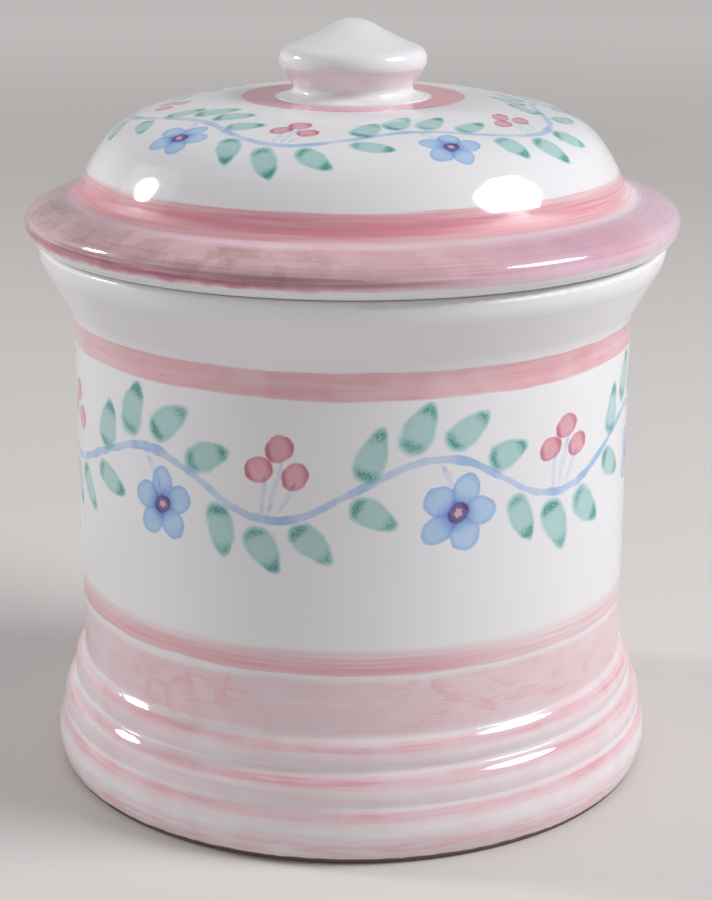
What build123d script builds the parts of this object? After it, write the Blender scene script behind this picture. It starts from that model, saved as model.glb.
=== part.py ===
from build123d import *
import os
from math import radians, tan
from typing import NamedTuple

# A kitchen canister of glazed earthenware, in millimetres. The jar is a straight cylinder with a
# flared lip and three swelling rings round its base. The domed lid rests on the lip by the flat
# underside of its brim, is centred by a collar inside the mouth, and carries a hollow knob.
# The origin is the centre of the foot, and +Z runs up the axis.

# Jar
body_diameter = 181.2
jar_height = 176.5
wall = 6.0
floor_thickness = 7.0
floor_corner = 9.0

# Flared lip
lip_reach = 10.4
lip_edge_height = 5.2
flare_height = 18.4
flare_root_round = 15.0
flare_top_round = 14.0
lip_outer_round = 2.6
lip_inner_round = 2.0

# Base rings, each with its height, how far its lower groove stands out from the body,
# and how far it swells past the straight line between its two grooves
top_ring_height = 9.9
top_ring_reach = 2.5
top_ring_swell = 2.0
middle_ring_height = 10.1
middle_ring_reach = 6.7
middle_ring_swell = 2.1
foot_height = 18.5
foot_reach = 6.8
foot_swell = 2.7
groove_round = 1.5

# Underside
foot_edge_round = 1.5
foot_ring_width = 10.0
foot_recess = 3.0
recess_round = 1.2

# Brim of the lid, from its rim in to the foot of the dome, lifted a little outside its seat
lid_wall = 6.0
rim_overhang = 4.1
rim_thickness = 9.1
rim_round = 4.5
rim_under_round = 6.0
rim_lift = 1.5
seat_inset = 2.4
brim_width = 16.3
brim_rise = 5.1
brim_bend_reach = 9.0
brim_bend_drop = 1.6
brim_bend_round = 30.0
brim_root_round = 7.2

# Dome of the lid, from its side up to the level crown
dome_side_height = 23.2
dome_lean = 14.5
dome_bend_height = 11.4
dome_bend_lean = 5.3
dome_bend_round = 48.0
shoulder_round = 25.0
crown_rise = 6.7
crown_slope_width = 29.6
crown_round = 77.0

# Collar that centres the lid in the mouth
collar_depth = 12.0
collar_clearance = 1.0
collar_wall = 6.0
collar_round = 2.5
collar_root_round = 1.2
collar_top_round = 20.0

# Knob
knob_foot_diameter = 48.0
knob_foot_edge = 0.25
knob_waist_diameter = 36.0
knob_waist_height = 2.2
knob_waist_round = 2.0
knob_brim_diameter = 52.0
knob_brim_height = 14.0
knob_brim_round = 4.5
knob_flank_reach = 10.6
knob_flank_drop = 6.0
knob_flank_round = 90.0
knob_tip_diameter = 7.2
knob_tip_round = 13.0
knob_height = 24.6
knob_wall = 6.0
knob_hollow_round = 4.0
vent_diameter = 12.0
vent_round = 1.0

# The shortest straight stretch left between the rounds at an edge's two ends
least_straight = 0.2

# Worked out from the sizes above
body_radius = body_diameter / 2
foot_radius = body_radius + foot_reach
lip_radius = body_radius + lip_reach
lip_edge_z = jar_height - lip_edge_height
flare_z = lip_edge_z - flare_height
top_groove_z = foot_height + middle_ring_height
base_top_z = top_groove_z + top_ring_height
floor_z = foot_recess + floor_thickness
rim_radius = lip_radius + rim_overhang
rim_top_z = jar_height + rim_thickness
dome_foot_radius = rim_radius - brim_width
dome_foot_z = rim_top_z + brim_rise
dome_top_radius = dome_foot_radius - dome_lean
dome_top_z = dome_foot_z + dome_side_height
crown_z = dome_top_z + crown_rise
knob_foot_radius = knob_foot_diameter / 2
knob_tip_radius = knob_tip_diameter / 2
vent_radius = vent_diameter / 2


class Corner(NamedTuple):
    """A corner of a turned outline, its round, and the swell of the edge that leaves it."""

    radius: float
    height: float
    round: float = 0.0
    swell: float = 0.0

    @property
    def point(self):
        return Vector(self.radius, self.height)


def edge_between(start, end):
    """A straight edge, or an arc that swells to the right of its travel."""
    if start.swell:
        return SagittaArc(start.point, end.point, -start.swell)
    return Line(start.point, end.point)


def following(items):
    """The same closed run, started one item later."""
    return items[1:] + items[:1]


def eased_rounds(corners, edges):
    """Each corner's round, cut down to what the edges beside it leave room for."""
    before = edges[-1:] + edges[:-1]
    turns = [(edge % 1).get_angle(next_edge % 0) for edge, next_edge in zip(before, edges)]
    used = [corner.round * tan(radians(turn) / 2) for corner, turn in zip(corners, turns)]
    shares = [
        min(1, max(0, edge.length - least_straight) / (here + there)) if here + there else 1
        for edge, here, there in zip(edges, used, following(used))
    ]
    shares_before = shares[-1:] + shares[:-1]
    return [corner.round * min(pair) for corner, *pair in zip(corners, shares_before, shares)]


def turned(corners):
    """The solid that a closed outline of corners sweeps round the axis."""
    edges = [edge_between(start, end) for start, end in zip(corners, following(corners))]
    section = make_face(edges)
    for corner, corner_round in zip(corners, eased_rounds(corners, edges)):
        if corner_round:
            vertex = section.vertices().sort_by_distance(corner.point)[0]
            section = fillet(vertex, corner_round)
    return revolve(Plane.XZ * section, Axis.Z)


def inset(corners, gap, least_round=0.0):
    """An open run of corners moved to the right of its travel, so that a wall keeps its thickness."""
    lines = []
    for start, end in zip(corners, corners[1:]):
        along = (end.point - start.point).normalized()
        across = Vector(along.Y, -along.X) * gap
        lines.append((start.point + across, end.point + across, along))
    moved = [Corner(lines[0][0].X, lines[0][0].Y)]
    for corner, (here, _, along), (there, _, onward) in zip(corners[1:], lines, lines[1:]):
        turn = along.cross(onward).Z
        point = here + along * ((there - here).cross(onward).Z / turn)
        inner_round = corner.round - gap if turn < 0 else corner.round + gap
        moved.append(Corner(point.X, point.Y, max(least_round, inner_round)))
    moved.append(Corner(lines[-1][1].X, lines[-1][1].Y))
    return moved


def ended_at(corners, radius, end_round):
    """A run of corners that leads outwards, ended where it first reaches a radius."""
    kept = []
    for here, there in zip(corners, corners[1:]):
        kept.append(here)
        if there.radius >= radius:
            share = (radius - here.radius) / (there.radius - here.radius)
            height = here.height + (there.height - here.height) * share
            return kept + [Corner(radius, height, end_round)]
    return corners


def lip_run():
    """The jar's outer corners from the top of the lip down to the base rings."""
    return [
        Corner(lip_radius, jar_height, lip_outer_round),
        Corner(lip_radius, lip_edge_z, flare_top_round),
        Corner(body_radius, flare_z, flare_root_round),
        Corner(body_radius, base_top_z, groove_round),
    ]


def mouth_radius(height):
    """The radius inside the jar at a height on its flare."""
    _, flare_top, flare_root, _ = inset(lip_run(), wall)
    slope = (flare_top.radius - flare_root.radius) / (flare_top.height - flare_root.height)
    return max(flare_root.radius, flare_root.radius + (height - flare_root.height) * slope)


def make_jar():
    lip_inner, flare_top, flare_root, body_inner = inset(lip_run(), wall)
    base_inner_radius = body_radius + middle_ring_reach - wall
    corners = [
        Corner(0, foot_recess),
        Corner(foot_radius - foot_ring_width, foot_recess, recess_round),
        Corner(foot_radius - foot_ring_width, 0, recess_round),
        Corner(foot_radius, 0, foot_edge_round, foot_swell),
        Corner(body_radius + middle_ring_reach, foot_height, groove_round, middle_ring_swell),
        Corner(body_radius + top_ring_reach, top_groove_z, groove_round, top_ring_swell),
        *reversed(lip_run()),
        lip_inner._replace(round=lip_inner_round),
        flare_top,
        flare_root,
        body_inner._replace(round=flare_root_round),
        Corner(base_inner_radius, foot_height + wall / 2, floor_corner),
        Corner(base_inner_radius, floor_z, floor_corner),
        Corner(0, floor_z),
    ]
    return turned(corners)


def make_lid():
    collar_z = jar_height - collar_depth
    collar_radius = mouth_radius(collar_z) - collar_clearance
    collar_inner_radius = collar_radius - collar_wall
    outside = [
        Corner(vent_radius, crown_z),
        Corner(dome_top_radius - crown_slope_width, crown_z, crown_round),
        Corner(dome_top_radius, dome_top_z, shoulder_round),
        Corner(dome_foot_radius - dome_bend_lean, dome_foot_z + dome_bend_height, dome_bend_round),
        Corner(dome_foot_radius, dome_foot_z, brim_root_round),
        Corner(dome_foot_radius + brim_bend_reach, dome_foot_z - brim_bend_drop, brim_bend_round),
        Corner(rim_radius, rim_top_z, rim_round),
    ]
    inside = ended_at(inset(outside, lid_wall), collar_inner_radius, collar_top_round)
    corners = [
        *outside,
        Corner(rim_radius, jar_height + rim_lift, rim_under_round),
        Corner(lip_radius - seat_inset, jar_height),
        Corner(collar_radius, jar_height, collar_root_round),
        Corner(collar_radius, collar_z, collar_round),
        Corner(collar_inner_radius, collar_z, collar_round),
        *reversed(inside[1:]),
        inside[0]._replace(round=vent_round),
    ]
    return turned(corners)


def make_knob():
    tip_z = crown_z + knob_height
    outside = [
        Corner(0, tip_z),
        Corner(knob_tip_radius, tip_z, knob_tip_round),
        Corner(knob_tip_radius + knob_flank_reach, tip_z - knob_flank_drop, knob_flank_round),
        Corner(knob_brim_diameter / 2, crown_z + knob_brim_height, knob_brim_round),
        Corner(knob_waist_diameter / 2, crown_z + knob_waist_height, knob_waist_round),
    ]
    inside = inset(outside, knob_wall, knob_hollow_round)
    corners = [
        *outside,
        Corner(knob_foot_radius, crown_z + knob_foot_edge),
        Corner(knob_foot_radius, crown_z),
        Corner(inside[-1].radius, crown_z),
        *reversed(inside),
    ]
    return turned(corners)


def main():
    nodes = {"jar": make_jar(), "lid": make_lid(), "lid_knob": make_knob()}
    os.makedirs("parts", exist_ok=True)
    for name, solid in nodes.items():
        export_step(solid, f"parts/{name}.step")


main()
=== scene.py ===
from math import cos, radians, sin, tau

import bpy
from mathutils import Matrix, Vector

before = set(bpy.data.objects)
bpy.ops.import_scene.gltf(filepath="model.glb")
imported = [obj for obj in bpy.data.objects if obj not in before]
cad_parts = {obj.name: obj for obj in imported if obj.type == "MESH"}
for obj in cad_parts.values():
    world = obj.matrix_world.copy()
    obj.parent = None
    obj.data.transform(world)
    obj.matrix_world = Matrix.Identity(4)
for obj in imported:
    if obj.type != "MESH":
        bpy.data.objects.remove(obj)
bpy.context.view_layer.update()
scene = bpy.context.scene
scene.view_settings.view_transform = "Standard"

# Millimetres in a metre: places in the paint are in millimetres, as in the CAD
MILLIMETRES = 1000.0

# Heights of the jar's grooves, wash, bands, vine and lip
GROOVES = (18.5, 28.6, 38.5)
WASH_TOP = 58.6
LOWER_BAND_FOOT = 58.8
UPPER_BAND = (144.7, 153.3)
JAR_VINE = 117.0
LIP = (172.0, 175.0)

# Places on the lid, by radius on its crown, by height at its rim, and elsewhere by slope,
# which is the radius plus a share of the drop from the crown
CROWN_HEIGHT = 220.6
SLOPE_SHARE = 0.55
CROWN_RING = (25.0, 35.6)
LID_VINE = 66.0
LID_BAND = (97.0, 107.0)
BRIM_ROOT = (101.2, 109.4)
RIM_EDGE = (181.3, 184.8)
RIM_FOOT = 180.3
BRIM_UNDERSIDE = 178.0

# Far enough to move an ornament off a surface that it isn't painted on
OFF_THE_PIECE = 900.0

# Glaze and pigments, each pigment as the share of red, green and blue that it lets back
WHITE = (0.80, 0.795, 0.825)
# Bare clay, painted darker than the clay itself as shade where the foot meets the floor
CLAY_AND_SHADE = (0.16, 0.095, 0.08)
SPECK = (0.25, 0.20, 0.20)
LEAF_STOPS = (
    (0.00, (1.00, 1.00, 1.00)),
    (0.30, (0.57, 0.81, 0.79)),
    (0.62, (0.37, 0.66, 0.62)),
    (1.00, (0.14, 0.41, 0.37)),
)
PETAL_STOPS = (
    (0.00, (1.00, 1.00, 1.00)),
    (0.40, (0.62, 0.82, 1.00)),
    (0.70, (0.42, 0.62, 0.95)),
    (1.00, (0.20, 0.35, 0.78)),
)
BERRY_STOPS = (
    (0.00, (1.00, 1.00, 1.00)),
    (0.45, (0.93, 0.50, 0.55)),
    (1.00, (0.62, 0.20, 0.30)),
)
STEM_STOPS = (
    (0.00, (1.00, 1.00, 1.00)),
    (0.50, (0.72, 0.84, 0.98)),
    (1.00, (0.45, 0.64, 0.92)),
)
ROSE_STOPS = (
    (0.00, (1.00, 1.00, 1.00)),
    (0.45, (0.95, 0.66, 0.68)),
    (1.00, (0.88, 0.345, 0.41)),
)
WASH_STOPS = (
    (0.00, (1.00, 1.00, 1.00)),
    (0.45, (0.97, 0.78, 0.80)),
    (0.75, (0.96, 0.66, 0.70)),
    (1.00, (0.90, 0.50, 0.56)),
)
LILAC_STOPS = (
    (0.00, (1.00, 1.00, 1.00)),
    (0.45, (0.93, 0.68, 0.79)),
    (0.75, (0.84, 0.55, 0.68)),
    (1.00, (0.66, 0.40, 0.53)),
)
DUSK_STOPS = (
    (0.00, (1.00, 1.00, 1.00)),
    (0.45, (0.92, 0.65, 0.66)),
    (0.75, (0.80, 0.52, 0.54)),
    (1.00, (0.60, 0.38, 0.40)),
)
MAUVE = (0.52, 0.47, 0.53)
UMBER = (0.78, 0.72, 0.70)
MAGENTA = (0.84, 0.48, 0.60)


class Wire:
    """A number in a node tree. Arithmetic on it adds the nodes that work the answer out."""

    def __init__(self, tree, socket):
        self.tree = tree
        self.socket = socket

    def math(self, operation, *others):
        node = self.tree.nodes.new("ShaderNodeMath")
        node.operation = operation
        for place, value in zip(node.inputs, (self, *others)):
            plug(self.tree, place, value)
        return Wire(self.tree, node.outputs[0])

    def __add__(self, other):
        return self.math("ADD", other)

    def __sub__(self, other):
        return self.math("SUBTRACT", other)

    def __rsub__(self, other):
        return self.math("MULTIPLY_ADD", -1.0, other)

    def __mul__(self, other):
        return self.math("MULTIPLY", other)

    def __truediv__(self, other):
        return self.math("DIVIDE", other)

    __radd__ = __add__
    __rmul__ = __mul__

    def ramp(self, start, end, low=0.0, high=1.0):
        """Goes smoothly from low to high while this number goes from start to end."""
        node = self.tree.nodes.new("ShaderNodeMapRange")
        node.interpolation_type = "SMOOTHSTEP"
        for place, value in zip(node.inputs, (self, start, end, low, high)):
            plug(self.tree, place, value)
        return Wire(self.tree, node.outputs[0])

    def swing(self, depth):
        """Turns noise about its middle value of 0.5 into a swing to both sides of 0."""
        return (self - 0.5) * depth

    def bump(self, middle, half_width):
        """Is 1 at a middle value and falls smoothly to 0 on both sides of it."""
        return (self - middle).math("ABSOLUTE").ramp(half_width, 0.0)

    def band(self, low, high, low_soft, high_soft):
        """Is 1 between two places and fades out at each."""
        inside = self.ramp(low - low_soft, low + low_soft)
        return inside * self.ramp(high + high_soft, high - high_soft)


def plug(tree, place, value):
    """Gives an input a fixed value, or the wire that feeds it."""
    if isinstance(value, Wire):
        tree.links.new(value.socket, place)
    else:
        place.default_value = value


class Glaze:
    """A glossy white glaze with paint under it, laid on wash by wash."""

    def __init__(self, name):
        self.material = bpy.data.materials.new(name)
        self.material.use_nodes = True
        self.tree = self.material.node_tree
        self.shader = self.tree.nodes["Principled BSDF"]
        where = self.node("ShaderNodeTexCoord")
        self.place = self.node("ShaderNodeVectorMath")
        self.place.operation = "SCALE"
        self.tree.links.new(where.outputs["Object"], self.place.inputs[0])
        self.place.inputs["Scale"].default_value = MILLIMETRES
        x, y, self.height = self.parts(self.place.outputs[0])
        self.radius = (x * x + y * y).math("SQRT").math("MAXIMUM", 0.01)
        self.round_x = x / self.radius
        self.round_y = y / self.radius
        self.angle = x.math("ARCTAN2", y * -1.0)
        normal_x, normal_y, self.normal_up = self.parts(where.outputs["Normal"])
        self.normal_out = normal_x * self.round_x + normal_y * self.round_y
        self.colour = None

    def node(self, kind):
        return self.tree.nodes.new(kind)

    def parts(self, socket):
        """The three numbers of a vector."""
        node = self.node("ShaderNodeSeparateXYZ")
        self.tree.links.new(socket, node.inputs[0])
        return [Wire(self.tree, output) for output in node.outputs]

    def vector(self, *numbers):
        """A vector of three numbers."""
        node = self.node("ShaderNodeCombineXYZ")
        for place, value in zip(node.inputs, numbers):
            plug(self.tree, place, value)
        return node.outputs[0]

    def noise(self, scale, detail, where=None, warp=0.0):
        """A node of smooth noise, about 0.3 to 0.7, with features of about 1/scale millimetres."""
        node = self.node("ShaderNodeTexNoise")
        self.tree.links.new(where or self.place.outputs[0], node.inputs["Vector"])
        node.inputs["Scale"].default_value = scale
        node.inputs["Detail"].default_value = detail
        node.inputs["Distortion"].default_value = warp
        return node

    def cloud(self, *settings, **named):
        """The same noise as one number."""
        return Wire(self.tree, self.noise(*settings, **named).outputs["Fac"])

    def streaks(self, across, turns, fineness, detail=3.0):
        """Noise drawn out round the axis, as a brush leaves it on a turning wheel."""
        where = self.vector(self.round_x * turns, self.round_y * turns, across * fineness)
        return self.cloud(1.0, detail, where)

    def stain(self, density, stops):
        """Lays on a pigment whose colour follows how thick it lies."""
        ramp = self.node("ShaderNodeValToRGB")
        elements = ramp.color_ramp.elements
        while len(elements) < len(stops):
            elements.new(1.0)
        for element, (position, colour) in zip(elements, stops):
            element.position = position
            element.color = (*colour, 1.0)
        plug(self.tree, ramp.inputs[0], density)
        self.wash(1.0, ramp.outputs[0])

    def wash(self, cover, tint, blend="MULTIPLY"):
        """Lays a tint over the colour so far, as far as it covers."""
        mix = self.node("ShaderNodeMix")
        mix.data_type = "RGBA"
        mix.blend_type = blend
        plug(self.tree, mix.inputs["Factor"], cover)
        base, top = mix.inputs[6], mix.inputs[7]
        if self.colour is None:
            base.default_value = (*WHITE, 1.0)
        else:
            self.tree.links.new(self.colour, base)
        if isinstance(tint, tuple):
            top.default_value = (*tint, 1.0)
        else:
            self.tree.links.new(tint, top)
        self.colour = mix.outputs[2]

    def finish(self, roughness, relief):
        """Joins the paint, the gloss and the waves in the glaze to the shader."""
        self.tree.links.new(self.colour, self.shader.inputs["Base Color"])
        plug(self.tree, self.shader.inputs["Roughness"], roughness)
        bump = self.node("ShaderNodeBump")
        bump.inputs["Distance"].default_value = 1 / MILLIMETRES
        plug(self.tree, bump.inputs["Height"], relief)
        self.tree.links.new(bump.outputs[0], self.shader.inputs["Normal"])
        return self.material


class Brush:
    """Paints one repeating ornament round the axis of a glazed piece."""

    # How far the hand wanders and the edge of a dab frays, in millimetres
    WANDER = 8.0
    FRAY = 1.6

    def __init__(self, glaze, rise, repeats):
        self.glaze = glaze
        self.repeats = repeats
        self.period = tau / repeats
        wander_along, wander_up, _ = glaze.parts(glaze.noise(1 / 55, 1.0).outputs["Color"])
        fray_along, fray_up, _ = glaze.parts(glaze.noise(1 / 5, 2.0).outputs["Color"])
        sway = wander_along.swing(self.WANDER) + fray_along.swing(self.FRAY)
        self.angle = glaze.angle + sway / glaze.radius
        self.rise = rise + wander_up.swing(self.WANDER) + fray_up.swing(self.FRAY)
        self.grain = glaze.cloud(1.6, 2.0)
        self.flow = glaze.cloud(1 / 9, 2.0)

    def spot(self, turn, height):
        """Millimetres along and up from a place that comes back in every repeat, and the repeat's lot."""
        ahead = self.angle - turn * self.period
        along = ahead.math("WRAP", self.period / 2, -self.period / 2) * self.glaze.radius
        count = (ahead / self.period + 0.5).math("FLOOR").math("FLOORED_MODULO", float(self.repeats))
        # Each dab of each repeat draws its own lot
        lot = self.glaze.node("ShaderNodeTexWhiteNoise")
        lot.noise_dimensions = "1D"
        plug(self.glaze.tree, lot.inputs["W"], count + turn * 7.3 + height * 0.37)
        return along, self.rise - height, Wire(self.glaze.tree, lot.outputs["Value"])

    def dab(self, turn, height, half_length, half_width, lean, taper=0.0, soft=0.3, sway=14.0, pools=1.0):
        """How thick the paint of one dab lies: pooled at both ends and along its rim."""
        along, up, lot = self.spot(turn, height)
        turned = self.glaze.node("ShaderNodeMapping")
        turned.vector_type = "TEXTURE"
        self.glaze.tree.links.new(self.glaze.vector(along, up, 0.0), turned.inputs["Vector"])
        angle = lot.swing(radians(sway)) + radians(lean)
        self.glaze.tree.links.new(self.glaze.vector(0.0, 0.0, angle), turned.inputs["Rotation"])
        turned.inputs["Scale"].default_value = (half_length, half_width, 1.0)
        forth, aside, _ = self.glaze.parts(turned.outputs[0])
        aside = aside / (1.0 - forth * taper)
        reach = (forth * forth + aside * aside).math("SQRT")
        cover = reach.ramp(1.0 + soft / 3, 1.0 - soft)
        far_pool = forth.ramp(0.3, 0.85) * (0.32 + 0.45 * lot)
        near_pool = forth.ramp(-0.4, -0.8) * (0.66 - 0.35 * lot)
        return cover * (0.30 + (far_pool + near_pool) * pools + reach.ramp(0.5, 1.0) * 0.10)

    def blossom(self, turn, height, petals, petal_place, half_length, half_width):
        """How thick the paint of a ring of petals lies."""
        along, up, lot = self.spot(turn, height)
        reach = (along * along + up * up).math("SQRT")
        step = tau / petals
        bearing = up.math("ARCTAN2", along) + lot * step
        aside = bearing.math("WRAP", step / 2, -step / 2)
        forth = (reach * aside.math("COSINE") - petal_place) / half_length
        side = reach * aside.math("SINE") / half_width
        petal = (forth * forth + side * side).math("SQRT")
        cover = petal.ramp(1.03, 0.93)
        return cover * (0.42 + petal.ramp(0.6, 1.0) * 0.16 + forth.ramp(0.1, -0.9) * 0.42)

    def stem(self, middle, winding, half_width):
        """How thick the paint of a stem that winds round the piece lies."""
        wave = (self.angle * float(self.repeats)).math("SINE") * winding + middle
        width = half_width * (0.55 + 0.9 * self.flow)
        cover = ((self.rise - wave).math("ABSOLUTE") / width).ramp(1.15, 0.75)
        return cover * (0.25 + self.flow)

    def grained(self, density, depth):
        """Paint broken up by the grain of its pigment and by the flow of the water."""
        speckled = density + density * density * self.grain.swing(depth)
        return speckled * (0.72 + 0.56 * self.flow)


# One repeat of the winding vine: places along it are shares of a repeat, the rest is in millimetres
# and degrees. A leaf or stalk has its place along, height, half length, half width and lean.
VINE_WINDING = 8.0
STEM_HALF_WIDTH = 1.35
LEAVES = (
    (0.06, 11.0, 8.6, 4.9, 72.0),
    (0.21, 18.5, 9.0, 5.1, 60.0),
    (0.37, 16.5, 8.8, 4.8, 38.0),
    (0.52, 8.0, 8.2, 4.6, 22.0),
    (0.57, -13.5, 8.6, 4.9, -74.0),
    (0.72, -18.5, 9.0, 5.1, -62.0),
    (0.88, -16.0, 8.8, 4.8, -40.0),
    (0.07, -7.0, 8.2, 4.5, -24.0),
)
BERRIES = ((0.70, 7.0), (0.765, 13.0), (0.82, 5.5))
BERRY_SIZE = (4.6, 3.9)
STALKS = (
    (0.715, -0.5, 6.6, 0.9, 84.0),
    (0.755, 2.0, 8.6, 0.9, 76.0),
    (0.795, -0.6, 5.6, 0.9, 60.0),
    (0.30, 1.0, 6.0, 1.1, -62.0),
)
BLOSSOM = (0.335, -9.0)
PETALS = 5
PETAL_PLACE = 6.6
PETAL_SIZE = (5.6, 4.5)
HEART_SIZE = (3.5, 3.1)


def thickest(dabs):
    """The paint of many dabs, as thick as the thickest at each place."""
    total = next(dabs)
    for density in dabs:
        total = total.math("MAXIMUM", density)
    return total


def paint_vine(glaze, rise, repeats, middle, scale):
    """Paints leaves, blossoms and berries on a vine that winds round the piece."""
    brush = Brush(glaze, rise, repeats)
    berry_length, berry_width, heart_length, heart_width, petal_length, petal_width = (
        size * scale for size in (*BERRY_SIZE, *HEART_SIZE, *PETAL_SIZE)
    )
    leaves = thickest(
        brush.dab(turn, middle + height * scale, length * scale, width * scale, lean, taper=0.32)
        for turn, height, length, width, lean in LEAVES
    )
    stalks = thickest(
        brush.dab(turn, middle + height * scale, length * scale, width, lean, soft=0.4, sway=4.0)
        for turn, height, length, width, lean in STALKS
    )
    berries = thickest(
        brush.dab(turn, middle + height * scale, berry_length, berry_width, lean=20.0, soft=0.12, pools=0.4)
        for turn, height in BERRIES
    )
    turn, height = BLOSSOM
    level = middle + height * scale
    petals = brush.blossom(turn, level, PETALS, PETAL_PLACE * scale, petal_length, petal_width)
    heart = brush.dab(turn, level, heart_length, heart_width, lean=30.0, soft=0.15, pools=0.4)
    stem = brush.stem(middle, VINE_WINDING * scale, STEM_HALF_WIDTH)
    glaze.stain(brush.grained(stem.math("MAXIMUM", stalks * 0.9), depth=0.3), STEM_STOPS)
    glaze.stain(brush.grained(leaves * 1.25, depth=2.0), LEAF_STOPS)
    glaze.stain(brush.grained(petals * 1.2, depth=0.35), PETAL_STOPS)
    glaze.stain(brush.grained(berries.math("MAXIMUM", heart) * 1.65, depth=0.35), BERRY_STOPS)


def specks(glaze):
    """Scattered pin marks in the glaze."""
    cells = glaze.node("ShaderNodeTexVoronoi")
    glaze.tree.links.new(glaze.place.outputs[0], cells.inputs["Vector"])
    cells.inputs["Scale"].default_value = 1 / 11
    near = Wire(glaze.tree, cells.outputs["Distance"])
    lot, size, _ = glaze.parts(cells.outputs["Color"])
    cover = (near / (0.008 + size * 0.022)).ramp(1.2, 0.6) * lot.ramp(0.80, 0.82)
    glaze.wash(cover * 0.8, SPECK)


def gloss(glaze):
    """The sheen of the glaze, a little uneven, and the slow waves in its surface."""
    roughness = 0.05 + 0.06 * glaze.cloud(1 / 14, 3.0)
    relief = 0.22 * glaze.cloud(1 / 22, 2.0) + 0.012 * glaze.cloud(1 / 2.5, 2.0)
    return roughness, relief


def laps(glaze):
    """Where strokes of a wet brush lap: dark along feathered edges, fading out behind them."""
    feather = glaze.streaks(glaze.height, 4.0, 1.3).swing(1.1)
    where = glaze.vector(glaze.round_x * 5.0 + feather, glaze.round_y * 5.0 + feather, glaze.height * 0.05)
    stroke = (glaze.cloud(1.0, 1.0, where) * 5.0).math("FRACT")
    return stroke * stroke * stroke * stroke.ramp(1.0, 0.94)


def jar_glaze():
    """White with a vine between two pink bands, over a washed base."""
    glaze = Glaze("jar_glaze")
    outside = glaze.normal_out.ramp(0.05, 0.3)
    height = glaze.height
    level = height + glaze.cloud(1 / 30, 3.0).swing(2.2)
    streak = glaze.streaks(height, 2.2, 0.6)
    fine = glaze.streaks(height, 5.0, 1.8, 2.0)
    blotch = glaze.cloud(1 / 22, 3.0, warp=1.2)
    broad = glaze.cloud(1 / 60, 1.0)

    # The band under the lip
    upper = level.band(*UPPER_BAND, 0.45, 0.45) * outside
    upper_paint = 0.20 + streak * 0.55 + fine * 0.25 + blotch.swing(0.6) + broad.swing(0.5)
    upper_paint = upper_paint + glaze.round_x.ramp(0.6, 0.9) * 0.12 - glaze.round_x.ramp(-0.7, -0.95) * 0.15
    glaze.stain(upper * upper_paint, ROSE_STOPS)

    # The band over the base: thin at its soft upper edge, thick down to its crisp lower one
    lower_foot = level.ramp(LOWER_BAND_FOOT - 0.3, LOWER_BAND_FOOT + 0.3)
    lower = (level.ramp(67.6, 65.4) + level.ramp(66.0, 61.5)) * lower_foot * outside
    hair = glaze.streaks(height, 2.4, 1.3, 4.0)
    lower_paint = 0.29 + streak.swing(0.2) + hair.swing(0.5) + broad.swing(0.25)
    glaze.stain(lower * (lower_paint - glaze.round_x.ramp(0.2, 0.5) * 0.1), ROSE_STOPS)

    # The pink wash of the base: lapping strokes on the wall, paler rings, a dark stripe below each groove
    wash = 0.50 + blotch.swing(0.55) + streak.swing(0.35) + fine.swing(0.3)
    wash = wash + laps(glaze) * broad.ramp(0.50, 0.60) * height.ramp(36.0, 42.0) * 0.42
    wash = wash - height.ramp(40.5, 37.0) * 0.18
    line = height + (level - height) * 0.35
    for groove in GROOVES:
        stripe = line.band(groove - 4.1, groove - 1.1, 0.9, 0.6)
        wash = wash + stripe * (0.40 + streak.swing(0.6) + hair.swing(0.8) + blotch.swing(0.4))
        wash = wash - line.bump(groove + 0.4, 2.2) * 0.12

    # The lowest ring is pale across its middle and smeared towards the foot
    smear = glaze.streaks(height, 7.0, 0.5, 2.0)
    wash = wash - line.bump(11.5, 3.2) * 0.16 + line.bump(5.6, 4.4) * smear.ramp(0.42, 0.6) * 0.4

    # The wash thins out at an uneven upper edge
    shoreline = level + glaze.cloud(1 / 45, 2.0).swing(3.0) - glaze.round_x * 0.7
    wash = wash * shoreline.ramp(58.0, 55.8, 0.2, 1.0) * level.ramp(WASH_TOP + 0.3, WASH_TOP - 0.3)
    glaze.stain(outside * wash, WASH_STOPS)

    paint_vine(glaze, height + (outside - 1.0) * OFF_THE_PIECE, repeats=6, middle=JAR_VINE, scale=1.0)
    specks(glaze)

    # Bare clay round the foot, its colour darker than the clay itself as painted shade where the foot meets
    # the floor, and a duller glaze on the lip
    foot = (height + glaze.cloud(1 / 6, 3.0).swing(1.4)).ramp(2.3, 1.8)
    glaze.wash(foot, CLAY_AND_SHADE, "MIX")
    roughness, relief = gloss(glaze)
    lip = height.ramp(*LIP) * outside * glaze.round_x.ramp(-0.3, 0.4, 0.10, 0.26)
    roughness = roughness + foot * 0.7 + lip
    relief = relief + foot * 0.25 * glaze.cloud(1.2, 4.0)
    return glaze.finish(roughness, relief)


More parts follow.
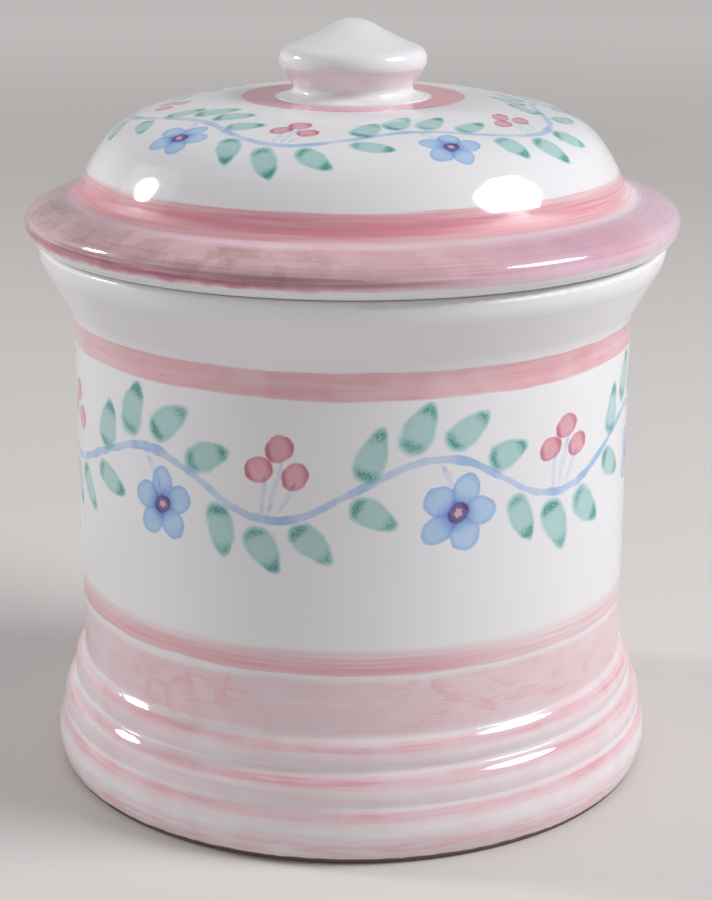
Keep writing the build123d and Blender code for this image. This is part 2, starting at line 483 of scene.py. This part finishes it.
def lid_glaze():
    """White with a vine between a pink ring and a pink band, inside a dark brim."""
    glaze = Glaze("lid_glaze")
    height = glaze.height
    outside = (glaze.normal_out + glaze.normal_up).ramp(-0.15, 0.15)
    outside = outside * height.ramp(BRIM_UNDERSIDE - 0.5, BRIM_UNDERSIDE + 0.5)
    slope = glaze.radius + (CROWN_HEIGHT - height) * SLOPE_SHARE
    wobble = glaze.cloud(1 / 30, 3.0).swing(2.0)
    streak = glaze.streaks(slope, 1.8, 0.65)
    fine = glaze.streaks(slope, 5.0, 2.0, 2.0)
    blotch = glaze.cloud(1 / 26, 3.0, warp=1.0)
    broad = glaze.cloud(1 / 70, 1.0)

    # The ring round the knob, with extra paint on its far left as painted shade where the knob's shadow
    # falls on it
    ring = (glaze.radius + wobble * 0.6).band(*CROWN_RING, 0.3, 0.4)
    ring = ring * height.ramp(216.0, 217.0) * outside
    ring_paint = 0.60 + streak * 0.5 + fine * 0.2 + blotch.swing(0.4)
    glaze.stain(ring * (ring_paint + glaze.round_x.ramp(-0.6, -0.95) * 0.3), ROSE_STOPS)

    # The band round the dome's foot: thickest along its middle, and thinner towards the right, partly real
    # and partly a painted sheen of the right-hand lamp's reflection over it
    hair = glaze.streaks(slope, 2.4, 1.3, 4.0)
    band = (slope + wobble * 0.5 + hair.swing(2.4)).band(*LID_BAND, 0.5, 1.0) * outside
    side = (glaze.angle - 0.4).math("SINE") * 0.9 + broad.swing(2.0) + streak.swing(1.6)
    band_paint = 0.51 + slope.bump(101.6, 6.5) * 0.5 + streak.swing(0.5) + hair.swing(1.2)
    glaze.stain(band * (band_paint - side.ramp(-0.2, 1.2) * 0.40), ROSE_STOPS)

    # The brim, from a pale line at the dome's foot out to the rim, where the paint thins again
    brim = (slope + wobble * 0.4).ramp(106.4, 107.8) * outside
    brim = brim * (height + wobble * 0.5).ramp(RIM_FOOT - 0.4, RIM_FOOT + 0.4)
    brim = brim * slope.ramp(107.0, 114.0, 0.5, 1.0) * height.ramp(184.8, 181.0, 1.0, 0.6)
    brim = brim * glaze.round_x.ramp(0.75, 0.95, 1.0, 0.8)
    lilac = side.ramp(-0.6, 0.8).math("MAXIMUM", slope.ramp(111.5, 108.0))
    brim_paint = 0.74 + streak.swing(0.4) + hair.swing(0.55) + blotch.swing(0.5)
    glaze.stain(brim * brim_paint * lilac, LILAC_STOPS)
    pale = glaze.cloud(1 / 16, 3.0, warp=0.5).ramp(0.5, 0.62)
    glaze.stain(brim * (brim_paint - pale * 0.18) * (1.0 - lilac), DUSK_STOPS)
    stains = glaze.cloud(1 / 6, 4.0).ramp(0.5, 0.64) * side.ramp(-0.3, -1.1)
    glaze.wash(brim * stains * 0.8, UMBER)

    # Dark stains and drips along the rim
    edge = (height + wobble * 0.5).band(*RIM_EDGE, 0.7, 0.7) * outside
    edge = edge * side.ramp(0.5, -0.4) * (streak * 0.4 + hair * 0.6).ramp(0.40, 0.56)
    glaze.wash(edge * 0.75, MAUVE)
    drips = (height + glaze.cloud(1 / 7, 3.0).swing(6.0)).ramp(179.6, 181.6) * height.ramp(184.5, 182.0)
    glaze.wash(drips * side.ramp(-0.3, -0.9) * outside, MAGENTA)

    inwards = (slope + (1.0 - outside) * OFF_THE_PIECE) * -1.0
    paint_vine(glaze, inwards, repeats=5, middle=-LID_VINE, scale=0.82)
    specks(glaze)

    # A duller glaze where the brim meets the dome
    roughness, relief = gloss(glaze)
    root = slope.band(*BRIM_ROOT, 1.2, 1.4) * outside
    return glaze.finish(roughness + root * 0.38, relief)


def knob_glaze():
    """White with faint pink patches, a painted reflection of the pink ring at its foot."""
    glaze = Glaze("knob_glaze")
    # Faint pink patches painted in as the reflection of the pink ring round the knob
    painted_ring_reflection = glaze.cloud(1 / 12, 3.0, warp=0.8)
    glaze.stain((painted_ring_reflection - 0.59) * 0.65, WASH_STOPS)
    specks(glaze)

    # Pits in the glaze along the seam between knob and crown
    seam = glaze.height.ramp(CROWN_HEIGHT + 1.2, CROWN_HEIGHT + 0.5)
    clusters = glaze.cloud(1 / 12, 1.0).ramp(0.5, 0.58)
    glaze.wash(seam * clusters * glaze.cloud(0.9, 2.0).ramp(0.61, 0.65) * 0.7, SPECK)
    roughness, relief = gloss(glaze)
    return glaze.finish(roughness, relief)


for node, material in (("jar", jar_glaze()), ("lid", lid_glaze()), ("lid_knob", knob_glaze())):
    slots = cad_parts[node].data.materials
    slots.clear()
    slots.append(material)

# Camera, at the photograph's place and angle, in metres and degrees
CAMERA_PLACE = (0.0, -0.7139, 0.3188)
CAMERA_YAW = -0.1026
CAMERA_PITCH = -16.845
CAMERA_ROLL = 0.16
camera_data = bpy.data.cameras.new("camera")
camera_data.sensor_fit = "VERTICAL"
camera_data.sensor_height = 36.0
camera_data.lens = 89.316
camera = bpy.data.objects.new("camera", camera_data)
scene.collection.objects.link(camera)
camera.matrix_world = (
    Matrix.Translation(CAMERA_PLACE)
    @ Matrix.Rotation(radians(CAMERA_YAW), 4, "Z")
    @ Matrix.Rotation(radians(90.0 + CAMERA_PITCH), 4, "X")
    @ Matrix.Rotation(radians(CAMERA_ROLL), 4, "Z")
)
scene.camera = camera

# Where the lamps point, in metres
LAMP_AIM = Vector((0.0, 0.0, 0.19))


def soft_lamp(name, azimuth, elevation, distance, width, height, power, roll=0.0):
    """A soft oval lamp that faces the canister, by its bearing from the viewer's side."""
    data = bpy.data.lights.new(name, "AREA")
    data.shape = "ELLIPSE"
    data.size = width
    data.size_y = height
    data.energy = power
    lamp = bpy.data.objects.new(name, data)
    scene.collection.objects.link(lamp)
    level = cos(radians(elevation))
    away = Vector((sin(radians(azimuth)) * level, -cos(radians(azimuth)) * level, sin(radians(elevation))))
    lamp.location = LAMP_AIM + away * distance
    facing = (-away).to_track_quat("-Z", "Y").to_matrix()
    lamp.rotation_euler = (facing @ Matrix.Rotation(radians(roll), 3, "Z")).to_euler()


soft_lamp("key_lamp", 79.5, 36.4, distance=1.7, width=0.88, height=0.585, power=25.1, roll=-18.0)
soft_lamp("fill_lamp", -104.0, 25.5, distance=1.7, width=0.29, height=0.31, power=8.2)
soft_lamp("fill_rim", -104.0, 25.5, distance=1.72, width=0.9, height=0.9, power=1.5)

# The room: a soft grey, brightest round the horizon and on the left
ROOM_COLOUR = (1.0, 0.985, 0.98, 1.0)
world = bpy.data.worlds.new("studio")
scene.world = world
world.use_nodes = True
sky = world.node_tree
background = sky.nodes["Background"]
background.inputs["Color"].default_value = ROOM_COLOUR
direction = sky.nodes.new("ShaderNodeSeparateXYZ")
sky.links.new(sky.nodes.new("ShaderNodeTexCoord").outputs["Generated"], direction.inputs[0])
sideways = Wire(sky, direction.outputs["X"])
overhead = Wire(sky, direction.outputs["Z"])
glow = sideways.ramp(-0.2, -1.0, 0.0, 0.95) * overhead.ramp(0.7, 0.1)
plug(sky, background.inputs["Strength"], overhead.ramp(0.0, 1.0, 0.47, 0.16) + glow)

# The floor: plain and pale, a little brighter to the eye far from the canister
FLOOR_REACH = 6.0
FLOOR_COLOUR = (0.68, 0.655, 0.643, 1.0)
FAR_FLOOR_GLOW = (1.0, 0.97, 0.96, 1.0)
floor_corners = [(x * FLOOR_REACH, y * FLOOR_REACH, 0.0) for x, y in ((-1, -1), (1, -1), (1, 1), (-1, 1))]
floor_mesh = bpy.data.meshes.new("floor")
floor_mesh.from_pydata(floor_corners, [], [(0, 1, 2, 3)])
floor = bpy.data.objects.new("floor", floor_mesh)
scene.collection.objects.link(floor)
floor_material = bpy.data.materials.new("floor")
floor_material.use_nodes = True
paper = floor_material.node_tree
floor_shader = paper.nodes["Principled BSDF"]
floor_shader.inputs["Base Color"].default_value = FLOOR_COLOUR
floor_shader.inputs["Roughness"].default_value = 0.9
floor_shader.inputs["Emission Color"].default_value = FAR_FLOOR_GLOW
place = paper.nodes.new("ShaderNodeTexCoord").outputs["Object"]
distance = paper.nodes.new("ShaderNodeVectorMath")
distance.operation = "LENGTH"
paper.links.new(place, distance.inputs[0])
away = Wire(paper, distance.outputs["Value"]).ramp(0.9, 2.4, 0.0, 0.24)
path = paper.nodes.new("ShaderNodeLightPath")
seen = Wire(paper, path.outputs["Is Camera Ray"])
for kind in ("Is Glossy Ray", "Is Transmission Ray"):
    seen = seen.math("MAXIMUM", Wire(paper, path.outputs[kind]))
plug(paper, floor_shader.inputs["Emission Strength"], away * seen)
floor_mesh.materials.append(floor_material)
